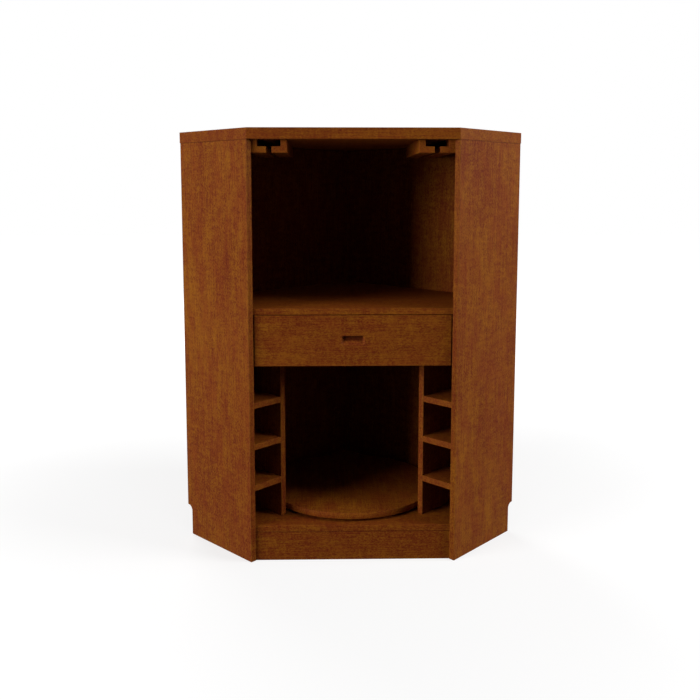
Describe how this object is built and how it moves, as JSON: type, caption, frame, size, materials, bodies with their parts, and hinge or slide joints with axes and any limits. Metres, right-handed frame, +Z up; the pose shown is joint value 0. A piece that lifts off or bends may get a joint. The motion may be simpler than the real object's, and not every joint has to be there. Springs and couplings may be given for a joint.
{
  "type": "modular bar counter corner unit",
  "caption": "Five-sided corner unit of a bar counter with stemware rails, shelf, drawer on roller runners, bottle cubbies and a revolving shelf, in brown veneer.",
  "frame": {"origin": "middle of the base of the bounding box, on the floor", "axes": "+Z up, the open bartender's side faces -Y, +X to the right when looking into the open side"},
  "size_m": [0.8818, 0.6294, 1.067],
  "materials": {
    "veneer": "satin brown veneer",
    "drawer_box": "clear satin",
    "runner_steel": "powder coat",
    "roller_plastic": "moulded",
    "bearing_steel": "zinc plated",
    "bright_steel": "bright",
    "cage_plastic": "moulded",
    "tenon_wood": "plain",
    "base_wood": "plain"
  },
  "bodies": {
    "carcass": {"bearing_lower_plate": "bearing_steel", "bottle_divider_left": "veneer", "bottle_divider_right": "veneer", "bottle_shelf_left_1": "veneer", "bottle_shelf_left_2": "veneer", "bottle_shelf_left_3": "veneer", "bottle_shelf_right_1": "veneer", "bottle_shelf_right_2": "veneer", "bottle_shelf_right_3": "veneer", "bottom_bearer": "base_wood", "bottom_panel": "veneer", "carcass_tenons": "tenon_wood", "counter_top": "veneer", "customer_panel_left": "veneer", "customer_panel_right": "veneer", "drawer_cheek_left": "veneer", "drawer_cheek_right": "veneer", "drawer_deck": "veneer", "end_panel_left": "veneer", "end_panel_right": "veneer", "fixed_shelf": "veneer", "front_kick_board": "veneer", "front_roller_axles": "bright_steel", "glass_rail_left_inner": "veneer", "glass_rail_left_outer": "veneer", "glass_rail_right_inner": "veneer", "glass_rail_right_outer": "veneer", "plinth_corner_blocks": "base_wood", "rear_plinth_left": "veneer", "rear_plinth_right": "veneer", "runner_channel_left": "runner_steel", "runner_channel_right": "runner_steel", "top_tenons": "tenon_wood"},
    "drawer": {"drawer_front": "veneer", "drawer_inner_front": "drawer_box", "drawer_side_left": "drawer_box", "drawer_side_right": "drawer_box", "drawer_back": "drawer_box", "drawer_bottom": "drawer_box", "drawer_runner_left": "runner_steel", "drawer_runner_right": "runner_steel", "rear_roller_axles": "bright_steel"},
    "turntable": {"turntable_disc": "veneer", "bearing_upper_plate": "bearing_steel"},
    "ball_ring": {"bearing_ball_ring": "cage_plastic"},
    "front_left_roller": {"front_roller_left": "roller_plastic"},
    "front_right_roller": {"front_roller_right": "roller_plastic"},
    "rear_left_roller": {"rear_roller_left": "roller_plastic"},
    "rear_right_roller": {"rear_roller_right": "roller_plastic"}
  },
  "joints": [
    {"name": "drawer_slide", "type": "slide", "parent": "carcass", "child": "drawer", "axis": [0, -1, 0], "range_m": [0, 0.25]},
    {"name": "turntable_spin", "type": "hinge", "parent": "carcass", "child": "turntable", "pos_m": [0, -0.05716, 0.097], "axis": [0, 0, 1], "continuous": true},
    {"name": "ball_ring_spin", "type": "hinge", "parent": "carcass", "child": "ball_ring", "pos_m": [0, -0.05716, 0.093], "axis": [0, 0, 1], "continuous": true},
    {"name": "front_left_roller_turn", "type": "hinge", "parent": "carcass", "child": "front_left_roller", "pos_m": [-0.20278, -0.27006, 0.5225], "axis": [1, 0, 0], "range_deg": [0, 1600]},
    {"name": "front_right_roller_turn", "type": "hinge", "parent": "carcass", "child": "front_right_roller", "pos_m": [0.20278, -0.27006, 0.5225], "axis": [1, 0, 0], "range_deg": [0, 1600]},
    {"name": "rear_left_roller_turn", "type": "hinge", "parent": "drawer", "child": "rear_left_roller", "pos_m": [-0.20278, 0.04488, 0.5225], "axis": [1, 0, 0], "range_deg": [0, 1600]},
    {"name": "rear_right_roller_turn", "type": "hinge", "parent": "drawer", "child": "rear_right_roller", "pos_m": [0.20278, 0.04488, 0.5225], "axis": [1, 0, 0], "range_deg": [0, 1600]}
  ],
  "couplings": [
    {"joint": "ball_ring_spin", "follows": "turntable_spin", "ratio": 0.5},
    {"joint": "front_left_roller_turn", "follows": "drawer_slide", "rad_per_m": 111.11},
    {"joint": "front_right_roller_turn", "follows": "drawer_slide", "rad_per_m": 111.11},
    {"joint": "rear_left_roller_turn", "follows": "drawer_slide", "rad_per_m": 111.11},
    {"joint": "rear_right_roller_turn", "follows": "drawer_slide", "rad_per_m": 111.11}
  ]
}
